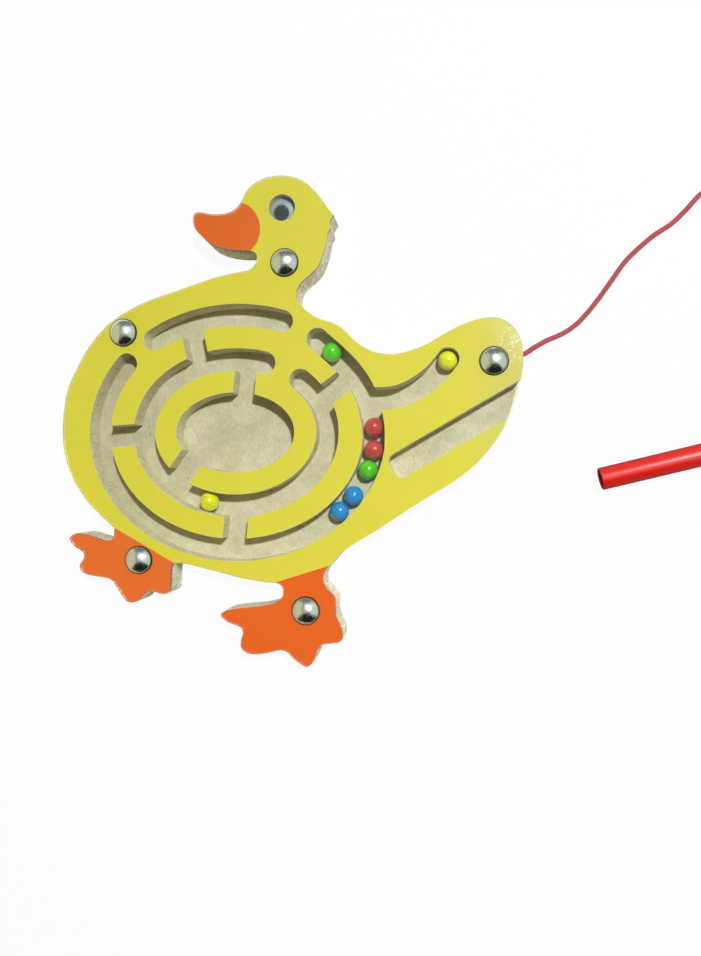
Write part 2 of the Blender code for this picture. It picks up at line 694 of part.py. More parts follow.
def build_balls(paints, parts):
    for name, (degrees, back, on, paint) in INNER_BALLS.items():
        add_ring_ball(name, "inner", degrees, back, on, paints[paint], parts)
    rests = {}
    for name, (channel, place, back, on, paint) in CHANNEL_BALLS.items():
        line = channel_line(channel)
        rest = rests[name] = nearest(line, at_shares(place), 0.0)
        low = nearest(line[:line.index(rest) + 1], rest, back)
        high = nearest(line[line.index(rest):], rest, on)
        if on:
            centre = circle_centre(low, rest, high)
        else:
            centre = circle_centre(low, nearest(line, (low + rest) / 2, 0.0), rest)
        add_ball(name, rest, centre, paints[paint], parts)
    before, degrees = rests["ball_red_1"], 0.0
    for name, (gap, back, on, paint) in ROW_BALLS.items():
        while (on_ring("outer", degrees) - before).length < BALL_DIAMETER + gap:
            degrees -= ROW_STEP
        before = on_ring("outer", degrees)
        add_ring_ball(name, "outer", degrees, back, on, paints[paint], parts)


def along_wand(distance):
    """A place on the wand's axis, at a distance from its tip."""
    way = Vector((math.cos(WAND_ANGLE), math.sin(WAND_ANGLE), 0.0))
    return at_shares(WAND_TIP_SHARES) + way * distance + Vector((0.0, 0.0, WAND_RADIUS))


def build_wand(red, magnetic, plug_finish, parts):
    """The wand: a tube with a magnet let into its tip and a plug for the cord in its far end."""
    bore = WAND_RADIUS - WAND_WALL
    inside = bore - FIT
    holder = joint_empty("wand_axis", along_wand(WAND_LENGTH / 2), parts)
    start = -WAND_LENGTH / 2
    end = WAND_LENGTH / 2 - END_PLUG_RIM
    tube = [(bore, end), (WAND_RADIUS, end), (WAND_RADIUS, start), (bore, start), (bore, end)]
    low, high = start + MAGNET_RECESS, start + MAGNET_RECESS + MAGNET_LENGTH
    magnet = [(0.0, high), (inside, high), (inside, low), (0.0, low)]
    face, seat, deep = WAND_LENGTH / 2, end + GLUE_LINE, end - END_PLUG_DEPTH
    plug = [(0.0, face), (WAND_RADIUS, face), (WAND_RADIUS, seat), (inside, seat), (inside, deep), (0.0, deep)]
    for name, profile, finish in (
        ("wand_tube", tube, red), ("wand_magnet", magnet, magnetic), ("wand_end_plug", plug, plug_finish),
    ):
        piece = turned(name, profile, parts)
        piece.parent = holder
        piece.rotation_euler = (0.0, math.pi / 2, WAND_ANGLE)
        piece.data.materials.append(finish)


def build_cord(braid, parts):
    """The cord, from beside the tail's pin out through its bore and round to the wand's plug."""
    pin, mouth, way = cord_way()
    start = pin + way * (PIN_DIAMETER / 2 + FIT)
    end = along_wand(WAND_LENGTH + FIT)
    near = along_wand(WAND_LENGTH + 6 * CORD_DIAMETER)
    inner = start + way * CORD_BORE
    route = [start, inner, mouth] + [Vector(p) for p in CORD_ROUTE] + [near, end]
    points = smooth_line(route, CORD_POINT_SPACING)
    curve = bpy.data.curves.new("cord", "CURVE")
    curve.dimensions = "3D"
    curve.bevel_depth = CORD_RADIUS
    curve.bevel_resolution = 2
    curve.use_fill_caps = True
    spline = curve.splines.new("POLY")
    spline.points.add(len(points) - 1)
    for knot, point in zip(spline.points, points):
        knot.co = (*point, 1.0)
    cord = new_object("cord", curve, parts)
    cord.data.materials.append(braid)
    print(f"cord length {1000 * sum((b - a).length for a, b in zip(points, points[1:])):.0f} mm")


def build():
    for old in list(bpy.data.objects):
        bpy.data.objects.remove(old)
    parts = bpy.data.collections.new("magnetic_maze_board")
    cutters = bpy.data.collections.new("cutters")
    for collection in (parts, cutters):
        bpy.context.scene.collection.children.link(collection)
    board = material("mdf", "C9C3A0", 0.85)
    printed = material("printed_yellow", "DFD83F", 0.45)
    clear = material("clear_acrylic", "F4F8F6", 0.05, alpha=0.25)
    chrome = material("chrome", "D8DADC", 0.12, metallic=1.0)
    steel = material("steel", "9A9C9E", 0.35, metallic=1.0)
    white = material("eye_white", "D4DEE6", 0.4)
    black = material("pupil_black", "2E3432", 0.4)
    red = material("red_plastic", "E8201E", 0.25)
    magnetic = material("ferrite", "3A3634", 0.6)
    braid = material("red_cord", "B85A62", 0.9)
    paints = {
        "green": material("green_paint", "3FC326", 0.2),
        "red": material("red_paint", "CC4450", 0.2),
        "blue": material("blue_paint", "2B8FD6", 0.2),
        "yellow": material("yellow_paint", "F2F210", 0.2),
    }
    pin_holes = [pin_hole("cut_pin_" + name, place, cutters) for name, place in PIN_PLACE_SHARES.items()]
    build_maze_sheet(pin_holes, printed, parts, cutters)
    build_plates(pin_holes, board, clear, parts)
    build_pins(steel, chrome, parts)
    build_eye(white, black, clear, parts)
    build_balls(paints, parts)
    build_wand(red, magnetic, red, parts)
    build_cord(braid, parts)


build()
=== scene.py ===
"""The look of a magnetic maze board in the shape of a duck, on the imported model's own frame.

A printed fibreboard sheet whose channels hold eight painted steel balls, a bare fibreboard back, a
clear cover held by five pins with chromed caps, a moving eye, and a red wand on a braided cord.
Metres, +Z out of the printed face, +X from the beak to the tail, +Y from the feet to the head.
"""

import math

import bmesh
import bpy
from mathutils import Matrix, Vector
from mathutils.bvhtree import BVHTree


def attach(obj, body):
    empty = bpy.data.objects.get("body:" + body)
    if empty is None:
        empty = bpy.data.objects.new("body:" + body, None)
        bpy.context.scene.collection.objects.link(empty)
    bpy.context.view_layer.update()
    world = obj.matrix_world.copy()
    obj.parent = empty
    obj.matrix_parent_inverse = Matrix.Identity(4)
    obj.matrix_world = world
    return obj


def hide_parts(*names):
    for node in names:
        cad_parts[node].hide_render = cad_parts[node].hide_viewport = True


MM = 0.001
# What counts as the same place, and as one height
SAME = MM / 1000
LEVEL = 0.01 * MM

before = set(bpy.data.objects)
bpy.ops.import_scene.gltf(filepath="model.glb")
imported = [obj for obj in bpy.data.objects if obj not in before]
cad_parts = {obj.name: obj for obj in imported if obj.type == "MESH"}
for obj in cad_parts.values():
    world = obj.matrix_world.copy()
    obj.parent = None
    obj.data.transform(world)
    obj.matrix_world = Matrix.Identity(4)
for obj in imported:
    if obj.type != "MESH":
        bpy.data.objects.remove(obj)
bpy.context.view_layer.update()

# Heights of the layers
BOARD_TOP = 3.5 * MM
SHEET_BOTTOM = 3.6 * MM
SHEET_TOP = 13.1 * MM
COVER_BOTTOM = 13.2 * MM
COVER_TOP = 15.2 * MM

# Where the turned pieces stand
PINS = {
    "neck": (20.90 * MM, 68.27 * MM),
    "shoulder": (-46.55 * MM, 41.34 * MM),
    "tail": (104.32 * MM, 27.25 * MM),
    "left_foot": (-39.91 * MM, -52.30 * MM),
    "right_foot": (29.64 * MM, -71.98 * MM),
}
EYE = (19.481 * MM, 91.141 * MM)
PUPIL = (18.776 * MM, 90.170 * MM)
BALLS = {
    "ball_blue_1": (48.23 * MM, -25.80 * MM),
    "ball_blue_2": (42.43 * MM, -32.19 * MM),
    "ball_green_1": (39.25 * MM, 32.91 * MM),
    "ball_green_2": (54.21 * MM, -15.32 * MM),
    "ball_red_1": (56.67 * MM, 2.06 * MM),
    "ball_red_2": (56.55 * MM, -7.19 * MM),
    "ball_yellow_1": (-12.12 * MM, -28.35 * MM),
    "ball_yellow_2": (86.46 * MM, 28.74 * MM),
}
BALL_HEIGHT = 7.6 * MM
BALL_RADIUS = 4.0 * MM
WAND_TIP = Vector((147.0 * MM, -19.05 * MM, 4.5 * MM))
WAND_ANGLE = math.radians(13.8)
WAND_WAY = Vector((math.cos(WAND_ANGLE), math.sin(WAND_ANGLE), 0.0))
WAND_LENGTH = 105.0 * MM
WAND_RADIUS = 4.5 * MM

# The cord's route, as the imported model's own
CORD_RADIUS = 1.0 * MM
CORD_BORE_HEIGHT = 10.6 * MM
CORD_MOUTH = (115.81 * MM, 30.23 * MM)
CORD_START = 2.3 * MM
CORD_LEAD = 2.6 * MM
CORD_PLUG_GAP = 0.3 * MM
CORD_PLUG_LEAD = 12.0 * MM
CORD_ROUTE = (
    (0.1207, 0.0332, 0.0104), (0.1255, 0.0362, 0.0070), (0.1305, 0.0386, 0.0041),
    (0.1350, 0.0412, 0.0022), (0.1396, 0.0450, 0.0014), (0.1452, 0.0515, 0.0012),
    (0.1522, 0.0612, 0.0012), (0.1569, 0.0679, 0.0012), (0.1610, 0.0722, 0.0012),
    (0.1682, 0.0784, 0.0012), (0.1752, 0.0830, 0.0012), (0.1807, 0.0882, 0.0012),
    (0.1867, 0.0946, 0.0012), (0.2050, 0.1070, 0.0012), (0.2280, 0.1120, 0.0012),
    (0.2520, 0.1050, 0.0012), (0.2720, 0.0860, 0.0012), (0.2840, 0.0600, 0.0012),
    (0.2850, 0.0350, 0.0018), (0.2770, 0.0180, 0.0032),
)

# The braid: points round the cord, strands wound each way, the length of one turn of a strand, how
# far apart the rings of points are, and the cord's radius between its strands and how much more on
# top of them, as shares of its own
BRAID_SIDES = 24
BRAID_STRANDS = 6
BRAID_PITCH = 5.4 * MM
BRAID_STEP = 0.25 * MM
BRAID_LOW, BRAID_RELIEF = 0.84, 0.20

# The camera's place, the way straight down as it sees it, in pixels of the photograph, and its
# sensor and lens in mm
CAMERA_PLACE = (0.08328, -0.01942, 0.3331)
PLUMB_LINE = Vector((89.5, -2.0, -800.0))
SENSOR_WIDTH, FOCAL_LENGTH = 36.0, 30.126

# An edge that turns further than this is a sharp one
SHARP = math.radians(60)


def only(*pieces):
    """Selects these pieces and nothing else."""
    bpy.ops.object.select_all(action="DESELECT")
    for piece in pieces:
        piece.select_set(True)
    if pieces:
        bpy.context.view_layer.objects.active = pieces[0]


def pick(kind, test):
    """In edit mode, selects the verts, edges or faces that pass a test and nothing else."""
    kinds = ("verts", "edges", "faces")
    bpy.context.tool_settings.mesh_select_mode = [kind == each for each in kinds]
    bpy.ops.mesh.select_all(action="DESELECT")
    mesh = bpy.context.object.data
    work = bmesh.from_edit_mesh(mesh)
    for part in getattr(work, kind):
        if test(part):
            part.select_set(True)
    work.select_flush_mode()
    bmesh.update_edit_mesh(mesh)


def edit(piece):
    only(piece)
    bpy.ops.object.mode_set(mode="EDIT")
    bpy.ops.mesh.select_all(action="SELECT")


def done():
    bpy.ops.object.mode_set(mode="OBJECT")


def settle(piece):
    """Puts a piece's place into its mesh."""
    only(piece)
    bpy.ops.object.transform_apply(location=True, rotation=True, scale=True)


def smooth(piece, degrees=35.0):
    only(piece)
    bpy.ops.object.shade_smooth_by_angle(angle=math.radians(degrees))


def place_camera():
    """Stands the camera where the photograph was taken from, 320 mm above the printed face."""
    lens = bpy.data.cameras.new("camera")
    lens.sensor_width, lens.lens, lens.clip_start = SENSOR_WIDTH, FOCAL_LENGTH, 10 * MM
    camera = bpy.data.objects.new("camera", lens)
    bpy.context.scene.collection.objects.link(camera)
    up = -PLUMB_LINE.normalized()
    across = (Vector((1.0, 0.0, 0.0)) - up * up.x).normalized()
    turn = Matrix((across, up.cross(across), up)).to_4x4()
    camera.matrix_world = Matrix.Translation(CAMERA_PLACE) @ turn
    bpy.context.scene.camera = camera


place_camera()


# The cord
def smooth_line(points, spacing):
    """Points a spacing apart along a smooth curve through the given points."""
    spans = [(b - a).length for a, b in zip(points, points[1:])]
    slopes = []
    for i in range(len(points)):
        low, high = max(i - 1, 0), min(i + 1, len(points) - 1)
        slopes.append((points[high] - points[low]) / sum(spans[low:high]))
    line = []
    for i, span in enumerate(spans):
        count = max(1, round(span / spacing))
        for step in range(count):
            t = step / count
            line.append(
                points[i] * (1 + 2 * t) * (1 - t) ** 2
                + slopes[i] * span * t * (1 - t) ** 2
                + points[i + 1] * t * t * (3 - 2 * t)
                + slopes[i + 1] * span * t * t * (t - 1)
            )
    return line + [points[-1]]


def strand_height(turn, run):
    """How high the braid stands at a place round and along the cord, from 0 to 1."""
    left, right = turn + run, turn - run
    over = left if (math.floor(left) + math.floor(right)) % 2 else right
    across = 2 * (over % 1.0) - 1
    return 1 - across * across


def braid_cord():
    """A braided cord of twelve ends: six strands wind each way and pass over and under."""
    pin, mouth = Vector((*PINS["tail"], CORD_BORE_HEIGHT)), Vector((*CORD_MOUTH, CORD_BORE_HEIGHT))
    way = (mouth - pin).normalized()
    start = pin + way * CORD_START
    end = WAND_TIP + WAND_WAY * (WAND_LENGTH + CORD_PLUG_GAP)
    near = WAND_TIP + WAND_WAY * (WAND_LENGTH + CORD_PLUG_LEAD)
    route = [start, start + way * CORD_LEAD, mouth]
    route += [Vector(point) for point in CORD_ROUTE] + [near, end]
    line = smooth_line(route, BRAID_STEP)
    points, faces = [], []
    run, side = 0.0, Vector((0.0, 0.0, 1.0))
    for i, point in enumerate(line):
        ahead = (line[min(i + 1, len(line) - 1)] - line[max(i - 1, 0)]).normalized()
        side = (side - ahead * side.dot(ahead)).normalized()
        other = ahead.cross(side)
        run += (point - line[i - 1]).length if i else 0.0
        for j in range(BRAID_SIDES):
            turn = j / BRAID_SIDES
            high = strand_height(BRAID_STRANDS * turn, BRAID_STRANDS * run / BRAID_PITCH)
            radius = CORD_RADIUS * (BRAID_LOW + BRAID_RELIEF * high)
            angle = 2 * math.pi * turn
            points.append(point + (side * math.cos(angle) + other * math.sin(angle)) * radius)
    last = len(points)
    for ring in range(0, last - BRAID_SIDES, BRAID_SIDES):
        after = ring + BRAID_SIDES
        for j in range(BRAID_SIDES):
            k = (j + 1) % BRAID_SIDES
            faces.append((ring + j, ring + k, after + k, after + j))
    points += [line[0], line[-1]]
    for j in range(BRAID_SIDES):
        k = (j + 1) % BRAID_SIDES
        faces.append((last, k, j))
        faces.append((last + 1, last - BRAID_SIDES + j, last - BRAID_SIDES + k))
    mesh = bpy.data.meshes.new("braided_cord")
    mesh.from_pydata(points, [], faces)
    mesh.validate()
    cord = bpy.data.objects.new("braided_cord", mesh)
    bpy.context.scene.collection.objects.link(cord)
    smooth(cord, 60.0)
    edit(cord)
    bpy.ops.mesh.normals_make_consistent(inside=False)
    done()
    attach(cord, "board")
    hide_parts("cord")
    return cord


cord = braid_cord()


# Materials
def colour(screen):
    """A screen colour as the linear one that a shader takes."""
    parts = [int(screen[i:i + 2], 16) / 255 for i in (1, 3, 5)]
    return (*[c / 12.92 if c <= 0.04045 else ((c + 0.055) / 1.055) ** 2.4 for c in parts], 1.0)


def finish(name, **values):
    """A new material whose shader has these values on its own sockets."""
    made = bpy.data.materials.new(name)
    made.use_nodes = True
    shader = made.node_tree.nodes["Principled BSDF"]
    for socket, value in values.items():
        shader.inputs[socket.replace("_", " ")].default_value = value
    return made, shader


def add(made, kind, settings=None, inputs=None):
    """A new node with its settings, and its inputs as values or as links."""
    node = made.node_tree.nodes.new(kind)
    for name, value in (settings or {}).items():
        setattr(node, name, value)
    for name, value in (inputs or {}).items():
        if isinstance(value, bpy.types.NodeSocket):
            made.node_tree.links.new(value, node.inputs[name])
        else:
            node.inputs[name].default_value = value
    return node


def link(made, source, socket):
    made.node_tree.links.new(source, socket)


# Sockets of a Mix node that mixes colours, and its settings
SHARE, FIRST, SECOND, MIXED = 0, 6, 7, 2
COLOURS = {"data_type": "RGBA"}
MULTIPLIED = {"data_type": "RGBA", "blend_type": "MULTIPLY"}


def painted_falloff(made, places):
    """Painted light falloff: how much brighter or darker a surface is drawn, from 1.08 at the feet
    to 0.87 at the top of the head.
    """
    spot = add(made, "ShaderNodeSeparateXYZ", None, {"Vector": places})
    return add(made, "ShaderNodeMapRange", None, {
        "Value": spot.outputs["Y"], "From Min": -70 * MM, "From Max": 100 * MM,
        "To Min": 1.08, "To Max": 0.87}).outputs["Result"]


def fibreboard(name, pale, dark, speck, grain, left=1.0, felt=0.20):
    """Medium-density fibreboard left bare: matt, with felted fibres 0.5 to 2 mm long that lie mostly
    one way, a cloudy tone over 10 mm or so, and scattered dark bark specks up to 0.6 mm. It is drawn
    brighter toward the feet and darker toward the head, as painted light falloff, and darker at its
    left end, as painted shade. The grain is how far its pattern is drawn out along each axis, left is
    how dark the painted shade makes its left end, and felt is how strongly its fibres show."""
    made, shader = finish(name, Roughness=0.88, Specular_IOR_Level=0.25)
    places = add(made, "ShaderNodeTexCoord").outputs["Object"]
    drawn = add(made, "ShaderNodeMapping", None, {"Vector": places, "Scale": grain}).outputs["Vector"]
    clouds = add(made, "ShaderNodeTexNoise", None, {
        "Vector": places, "Scale": 1 / (8 * MM), "Detail": 4.0, "Roughness": 0.65})
    fibres = add(made, "ShaderNodeTexNoise", None, {
        "Vector": drawn, "Scale": 1 / (0.7 * MM), "Detail": 4.0, "Roughness": 0.75,
        "Distortion": 0.8})
    cloudy = add(made, "ShaderNodeMapRange", None, {
        "Value": clouds.outputs["Fac"], "From Min": 0.35, "From Max": 0.65})
    tone = add(made, "ShaderNodeMix", COLOURS, {
        SHARE: cloudy.outputs["Result"], FIRST: colour(dark), SECOND: colour(pale)})
    spread = add(made, "ShaderNodeMapRange", None, {
        "Value": fibres.outputs["Fac"], "From Min": 0.3, "From Max": 0.7,
        "To Min": 1.0 - felt, "To Max": 1.0 + 0.6 * felt})
    # Painted light falloff: the fibres drawn brighter toward the feet and darker toward the head
    grain_and_painted_falloff = add(made, "ShaderNodeMath", {"operation": "MULTIPLY"}, {
        0: spread.outputs["Result"], 1: painted_falloff(made, places)})
    # Painted shade: the left end drawn darker, down to left at its edge
    spot = add(made, "ShaderNodeSeparateXYZ", None, {"Vector": places})
    left_painted_shade = add(made, "ShaderNodeMapRange", None, {
        "Value": spot.outputs["X"], "From Min": -45 * MM, "From Max": -20 * MM, "To Min": left})
    fibres_falloff_and_left_shade = add(made, "ShaderNodeMath", {"operation": "MULTIPLY"}, {
        0: grain_and_painted_falloff.outputs[0], 1: left_painted_shade.outputs["Result"]})
    # The cloudy tone times the fibres, the painted light falloff and the painted shade at the left end
    felted = add(made, "ShaderNodeMix", MULTIPLIED, {
        SHARE: 1.0, FIRST: tone.outputs[MIXED], SECOND: fibres_falloff_and_left_shade.outputs[0]})
    # Bark specks, one in each cell 1.4 mm across and each of its own size
    grit = add(made, "ShaderNodeTexVoronoi", {"feature": "F1"}, {
        "Vector": drawn, "Scale": 1 / (1.4 * MM), "Randomness": 1.0})
    size = add(made, "ShaderNodeMapRange", None, {
        "Value": grit.outputs["Color"], "From Min": 0.6, "From Max": 1.0,
        "To Min": 0.0, "To Max": 0.24})
    dots = add(made, "ShaderNodeMath", {"operation": "LESS_THAN"}, {
        0: grit.outputs["Distance"], 1: size.outputs["Result"]})
    faint = add(made, "ShaderNodeMath", {"operation": "MULTIPLY"}, {0: dots.outputs[0], 1: 0.6})
    speckled = add(made, "ShaderNodeMix", COLOURS, {
        SHARE: faint.outputs[0], FIRST: felted.outputs[MIXED], SECOND: colour(speck)})
    link(made, speckled.outputs[MIXED], shader.inputs["Base Color"])
    relief = add(made, "ShaderNodeBump", None, {
        "Strength": 0.35, "Distance": 0.12 * MM, "Height": fibres.outputs["Fac"]})
    link(made, relief.outputs["Normal"], shader.inputs["Normal"])
    return made


# Where the print's inks meet, in mm. Each edge goes from one point to another, and its ink lies to
# the right of it.
INK_SOFTNESS = 0.12 * MM
BEAK_EDGE, BEAK_HEIGHT, BEAK_REACH = -1.19, 82.89, 11.71
THROAT = ((40.0, 72.6), (-40.0, 72.6))
BEAK_SIDE = ((BEAK_EDGE, 10.0), (BEAK_EDGE, 0.0))
LEFT_FOOT = (((-51.56, -38.98), (-25.37, -53.66)), ((-10.0, 0.0), (-10.0, -10.0)))
RIGHT_FOOT = (
    ((15.76, -61.32), (39.56, -53.72)), ((-6.0, 0.0), (-6.0, 10.0)), ((50.0, 0.0), (50.0, -10.0)))


def printed_paper():
    """Offset print on coated paper, pasted to the sheet: yellow, with an orange beak and feet. Its
    clay coating gives a soft sheen, and the ink varies a little over 15 mm or so."""
    made, shader = finish("offset_printed_paper", Roughness=0.5, Specular_IOR_Level=0.35)
    places = add(made, "ShaderNodeTexCoord").outputs["Object"]
    spot = add(made, "ShaderNodeSeparateXYZ", None, {"Vector": places})
    x, y = spot.outputs["X"], spot.outputs["Y"]

    def inked_within(*edges):
        """1 to the right of every one of these edges, 0 elsewhere."""
        share = 1.0
        for a, b in edges:
            way = Vector((b[0] - a[0], b[1] - a[1])).normalized()
            edge = (a[0] * way.y - a[1] * way.x) * MM
            turned_x = add(made, "ShaderNodeMath", {"operation": "MULTIPLY"}, {0: x, 1: way.y})
            reach = add(made, "ShaderNodeMath", {"operation": "MULTIPLY_ADD"}, {
                0: y, 1: -way.x, 2: turned_x.outputs[0]})
            beside = add(made, "ShaderNodeMapRange", None, {
                "Value": reach.outputs[0],
                "From Min": edge - INK_SOFTNESS, "From Max": edge + INK_SOFTNESS})
            share = add(made, "ShaderNodeMath", {"operation": "MULTIPLY"}, {
                0: share, 1: beside.outputs["Result"]}).outputs[0]
        return share

    beak_end = add(made, "ShaderNodeVectorMath", {"operation": "DISTANCE"}, {
        0: places, 1: Vector((BEAK_EDGE * MM, BEAK_HEIGHT * MM, SHEET_TOP))})
    round_end = add(made, "ShaderNodeMapRange", None, {
        "Value": beak_end.outputs["Value"],
        "From Min": BEAK_REACH * MM + INK_SOFTNESS, "From Max": BEAK_REACH * MM - INK_SOFTNESS})
    whole_beak = add(made, "ShaderNodeMath", {"operation": "MAXIMUM"}, {
        0: round_end.outputs["Result"], 1: inked_within(BEAK_SIDE)})
    beak = add(made, "ShaderNodeMath", {"operation": "MULTIPLY"}, {
        0: whole_beak.outputs[0], 1: inked_within(THROAT)})
    ink = add(made, "ShaderNodeTexNoise", None, {
        "Vector": places, "Scale": 1 / (15 * MM), "Detail": 2.0})
    inks = add(made, "ShaderNodeMix", COLOURS, {
        SHARE: ink.outputs["Fac"], FIRST: colour("#E4DA3F"), SECOND: colour("#E9DE43")})
    toward_tail = add(made, "ShaderNodeMapRange", None, {
        "Value": x, "From Min": 92 * MM, "From Max": 118 * MM, "To Max": 0.6})
    # Pale golden-white flecks 0.8 mm across beside the cord's hole: spots of glue, drawn with painted
    # glints
    glint_noise = add(made, "ShaderNodeTexNoise", None, {
        "Vector": places, "Scale": 1 / (0.8 * MM), "Detail": 1.0})
    glint_flecks = add(made, "ShaderNodeMapRange", None, {
        "Value": glint_noise.outputs["Fac"], "From Min": 0.57, "From Max": 0.63, "To Max": 0.95})
    by_cord = add(made, "ShaderNodeVectorMath", {"operation": "DISTANCE"}, {
        0: places, 1: Vector((112.5, 34.0, 13.1)) * MM})
    patch = add(made, "ShaderNodeMapRange", None, {
        "Value": by_cord.outputs["Value"], "From Min": 8.5 * MM, "From Max": 5.0 * MM})
    glue_glints = add(made, "ShaderNodeMath", {"operation": "MULTIPLY"}, {
        0: glint_flecks.outputs["Result"], 1: patch.outputs["Result"]})
    for share, screen in (
        (beak.outputs[0], "#EA6A16"),
        (inked_within(*LEFT_FOOT), "#F07028"),
        (inked_within(*RIGHT_FOOT), "#F06404"),
        (toward_tail.outputs["Result"], "#D3CD84"),
        (glue_glints.outputs[0], "#FBF6D2"),
    ):
        inks = add(made, "ShaderNodeMix", COLOURS, {
            SHARE: share, FIRST: inks.outputs[MIXED], SECOND: colour(screen)})
    # The paper's own grain, 0.4 mm across
    grain = add(made, "ShaderNodeTexNoise", None, {
        "Vector": places, "Scale": 1 / (0.4 * MM), "Detail": 3.0})
    flecks = add(made, "ShaderNodeMapRange", None, {
        "Value": grain.outputs["Fac"], "From Min": 0.3, "From Max": 0.7,
        "To Min": 0.97, "To Max": 1.02})
    # Painted light falloff: the paper's grain drawn brighter toward the feet and darker toward the
    # head
    grain_and_painted_falloff = add(made, "ShaderNodeMath", {"operation": "MULTIPLY"}, {
        0: flecks.outputs["Result"], 1: painted_falloff(made, places)})
    worn = add(made, "ShaderNodeMix", MULTIPLIED, {
        SHARE: 1.0, FIRST: inks.outputs[MIXED], SECOND: grain_and_painted_falloff.outputs[0]})
    link(made, worn.outputs[MIXED], shader.inputs["Base Color"])
    pulp = add(made, "ShaderNodeBump", None, {
        "Strength": 0.15, "Distance": 0.02 * MM, "Height": grain.outputs["Fac"]})
    link(made, pulp.outputs["Normal"], shader.inputs["Normal"])
    return made


def clear_plastic(name, roughness, wear, gloss, faint=0.0):
    """Clear plastic, cast or moulded: glossy and nearly colourless, with hairline scratches 0.2 mm
    wide. Lamps shine through it unbent, so it casts no shadow of its own. A thin film is faint:
    mostly it isn't seen at all."""
    made, shader = finish(
        name, Transmission_Weight=1.0, IOR=1.49, Roughness=roughness, Base_Color=colour("#FBFDFC"),
        Specular_IOR_Level=gloss)
    places = add(made, "ShaderNodeTexCoord").outputs["Object"]
    stretched = add(made, "ShaderNodeMapping", None, {
        "Vector": places, "Rotation": (0.0, 0.0, math.radians(32)), "Scale": (0.05, 1.0, 1.0)})
    hairs = add(made, "ShaderNodeTexNoise", None, {
        "Vector": stretched.outputs["Vector"], "Scale": 1 / (0.5 * MM), "Detail": 2.0})
    scuffed = add(made, "ShaderNodeMapRange", None, {
        "Value": hairs.outputs["Fac"], "From Min": 0.62, "From Max": 0.75,
        "To Min": roughness, "To Max": roughness + wear})
    link(made, scuffed.outputs["Result"], shader.inputs["Roughness"])
    rays = add(made, "ShaderNodeLightPath")
    open_way = add(made, "ShaderNodeBsdfTransparent")
    lighting = add(made, "ShaderNodeMath", {"operation": "MAXIMUM"}, {
        0: rays.outputs["Is Shadow Ray"], 1: rays.outputs["Is Diffuse Ray"]})
    unseen = add(made, "ShaderNodeMath", {"operation": "MAXIMUM"}, {
        0: lighting.outputs[0], 1: faint})
    shown = add(made, "ShaderNodeMixShader", None, {
        0: unseen.outputs[0], 1: shader.outputs["BSDF"], 2: open_way.outputs["BSDF"]})
    link(made, shown.outputs["Shader"], made.node_tree.nodes["Material Output"].inputs["Surface"])
    return made


def chrome():
    """Chromed pressed steel: a mirror with faint dents 1.5 mm across, scuffed where it has been
    handled, and painted dark, dull and not metal round its rim where it meets the cover, as painted
    shade and a painted dark reflection."""
    made, shader = finish("chromed_steel", Metallic=1.0)
    places = add(made, "ShaderNodeTexCoord").outputs["Object"]
    scuffs = add(made, "ShaderNodeTexNoise", None, {
        "Vector": places, "Scale": 1 / (1.3 * MM), "Detail": 4.0, "Roughness": 0.65})
    dull = add(made, "ShaderNodeMapRange", None, {
        "Value": scuffs.outputs["Fac"], "From Min": 0.4, "From Max": 0.75,
        "To Min": 0.14, "To Max": 0.34})
    spot = add(made, "ShaderNodeSeparateXYZ", None, {"Vector": places})
    # Painted shade and a painted dark reflection: the rim's lowest half millimetre is dark, dull and
    # not metal
    above_rim_shade = add(made, "ShaderNodeMapRange", None, {
        "Value": spot.outputs["Z"], "From Min": 16.35 * MM, "From Max": 16.85 * MM})
    rim_shade_dullness = add(made, "ShaderNodeMath", {"operation": "MULTIPLY_ADD"}, {
        0: above_rim_shade.outputs["Result"], 1: -0.7, 2: 0.7})
    rough = add(made, "ShaderNodeMath", {"operation": "MAXIMUM"}, {
        0: dull.outputs["Result"], 1: rim_shade_dullness.outputs[0]})
    tone = add(made, "ShaderNodeMix", COLOURS, {
        SHARE: above_rim_shade.outputs["Result"], FIRST: colour("#2E2F22"), SECOND: colour("#F0F1EC")})
    link(made, rough.outputs[0], shader.inputs["Roughness"])
    link(made, tone.outputs[MIXED], shader.inputs["Base Color"])
    link(made, above_rim_shade.outputs["Result"], shader.inputs["Metallic"])
    dents = add(made, "ShaderNodeTexNoise", None, {
        "Vector": places, "Scale": 1 / (1.5 * MM), "Detail": 3.0})
    relief = add(made, "ShaderNodeBump", None, {
        "Strength": 0.7, "Distance": 0.16 * MM, "Height": dents.outputs["Fac"]})
    link(made, relief.outputs["Normal"], shader.inputs["Normal"])
    return made


def drawn_steel():
    """Zinc-plated steel wire with a headed end: grey and half dull, with patches of patina 1.8 mm
    across."""
    made, shader = finish("plated_steel_pin", Metallic=1.0, Roughness=0.38)
    places = add(made, "ShaderNodeTexCoord").outputs["Object"]
    patina = add(made, "ShaderNodeTexNoise", None, {
        "Vector": places, "Scale": 1 / (1.8 * MM), "Detail": 3.0})
    grey = add(made, "ShaderNodeMix", COLOURS, {
        SHARE: patina.outputs["Fac"], FIRST: colour("#8C8F92"), SECOND: colour("#B4B6B6")})
    link(made, grey.outputs[MIXED], shader.inputs["Base Color"])
    return made


